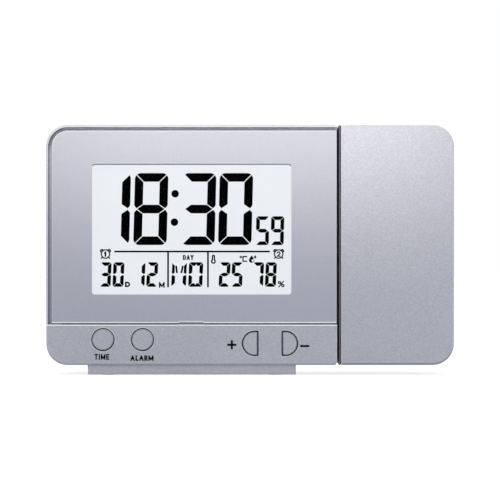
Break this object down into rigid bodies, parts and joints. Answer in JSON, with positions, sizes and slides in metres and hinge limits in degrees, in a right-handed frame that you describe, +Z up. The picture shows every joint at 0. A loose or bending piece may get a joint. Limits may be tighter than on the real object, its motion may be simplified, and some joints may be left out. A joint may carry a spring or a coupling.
{
  "type": "projection alarm clock",
  "caption": "Silver bedside alarm clock with a wide digital display and a tilting time projector on its right side",
  "frame": {"origin": "centre of the whole object's width and depth, on the table under the rubber pads", "axes": "+X along the width towards the projector, +Y from the display to the back, +Z up"},
  "size_m": [0.155, 0.042, 0.095],
  "materials": {
    "silver_shell": "satin silver paint with a fine metallic grain",
    "panel_silver": "satin silver film with fine crossed brushing",
    "clear_window": "polished clear acrylic",
    "display_glass": "pale grey liquid crystal cell",
    "light_guide": "frosted acrylic light guide",
    "white_plastic": "moulded white plastic",
    "black_plastic": "moulded black plastic",
    "circuit_board": "green solder mask",
    "plated_metal": "nickel plated sheet and wire",
    "steel": "zinc plated steel",
    "brass": "rolled brass disc",
    "cell_wrap": "plain shrink wrap with bare metal ends",
    "rubber": "moulded rubber",
    "wire": "insulated wires"
  },
  "bodies": {
    "clock_body": {"front_case": "silver_shell", "front_panel": "panel_silver", "lcd_window": "clear_window", "lcd_glass": "display_glass", "light_guide": "light_guide", "lcd_holder": "white_plastic", "contact_strip": "rubber", "main_board": "circuit_board", "clock_chip": "black_plastic", "quartz_crystal": "plated_metal", "backlight_leds": "white_plastic", "tact_switches": "black_plastic", "cable_socket": "white_plastic", "projector_cable": "wire", "rear_case": "silver_shell", "battery_contacts": "plated_metal", "battery_springs": "plated_metal", "battery_cells": "cell_wrap", "buzzer": "brass", "sensor_board": "circuit_board", "dc_jack": "black_plastic", "case_screws": "steel", "board_screws": "steel", "foot": "silver_shell", "foot_screws": "steel", "foot_pads": "rubber", "pivot_washer": "steel"},
    "time_key": {"time_button": "silver_shell", "time_plunger": "black_plastic"},
    "alarm_key": {"alarm_button": "silver_shell", "alarm_plunger": "black_plastic"},
    "plus_key": {"plus_button": "silver_shell", "plus_plunger": "black_plastic"},
    "minus_key": {"minus_button": "silver_shell", "minus_plunger": "black_plastic"},
    "snooze_key": {"snooze_bar": "silver_shell", "snooze_plunger": "black_plastic"},
    "battery_door": {"battery_cover": "silver_shell"},
    "projector": {"projector_front_shell": "silver_shell", "projector_rear_shell": "silver_shell", "side_cap": "silver_shell", "pivot_tube": "black_plastic", "pivot_clip": "plated_metal", "optical_tube": "black_plastic", "lens_ring": "black_plastic", "slide_frame": "black_plastic", "projection_lcd": "display_glass", "condenser_lens": "clear_window", "lamp_board": "white_plastic", "projector_board": "circuit_board", "projector_socket": "white_plastic", "switch_body": "plated_metal", "projector_screws": "steel", "projector_inner_screws": "steel"},
    "focus": {"focus_wheel": "black_plastic"},
    "lens_carrier": {"lens_barrel": "black_plastic", "objective_lens": "clear_window"},
    "projection_switch": {"switch_knob": "black_plastic"}
  },
  "joints": [
    {"name": "time_press", "type": "slide", "parent": "clock_body", "child": "time_key", "axis": [0, 1, 0], "range_m": [0, 0.0008], "stiffness_N_per_m": 1200},
    {"name": "alarm_press", "type": "slide", "parent": "clock_body", "child": "alarm_key", "axis": [0, 1, 0], "range_m": [0, 0.0008], "stiffness_N_per_m": 1200},
    {"name": "plus_press", "type": "slide", "parent": "clock_body", "child": "plus_key", "axis": [0, 1, 0], "range_m": [0, 0.0008], "stiffness_N_per_m": 1200},
    {"name": "minus_press", "type": "slide", "parent": "clock_body", "child": "minus_key", "axis": [0, 1, 0], "range_m": [0, 0.0008], "stiffness_N_per_m": 1200},
    {"name": "snooze_press", "type": "slide", "parent": "clock_body", "child": "snooze_key", "axis": [0, 0, -1], "range_m": [0, 0.0008], "stiffness_N_per_m": 1500},
    {"name": "battery_door_swing", "type": "hinge", "parent": "clock_body", "child": "battery_door", "pos_m": [-0.02225, 0.0067, 0.04485], "axis": [-1, 0, 0], "range_deg": [0, 60]},
    {"name": "projector_tilt", "type": "hinge", "parent": "clock_body", "child": "projector", "pos_m": [0.0345, -0.0065, 0.0494], "axis": [1, 0, 0], "range_deg": [-90, 90]},
    {"name": "focus_turn", "type": "hinge", "parent": "projector", "child": "focus", "pos_m": [0.056, -0.0041, 0.08095], "axis": [0, 0, 1], "range_deg": [-90, 90]},
    {"name": "lens_travel", "type": "slide", "parent": "projector", "child": "lens_carrier", "axis": [0, 0, 1], "range_m": [-0.001, 0.001]},
    {"name": "switch_travel", "type": "slide", "parent": "projector", "child": "projection_switch", "axis": [1, 0, 0], "range_m": [-0.0015, 0.0015]}
  ],
  "couplings": [
    {"joint": "focus_turn", "follows": "lens_travel", "rad_per_m": 1570.8}
  ]
}
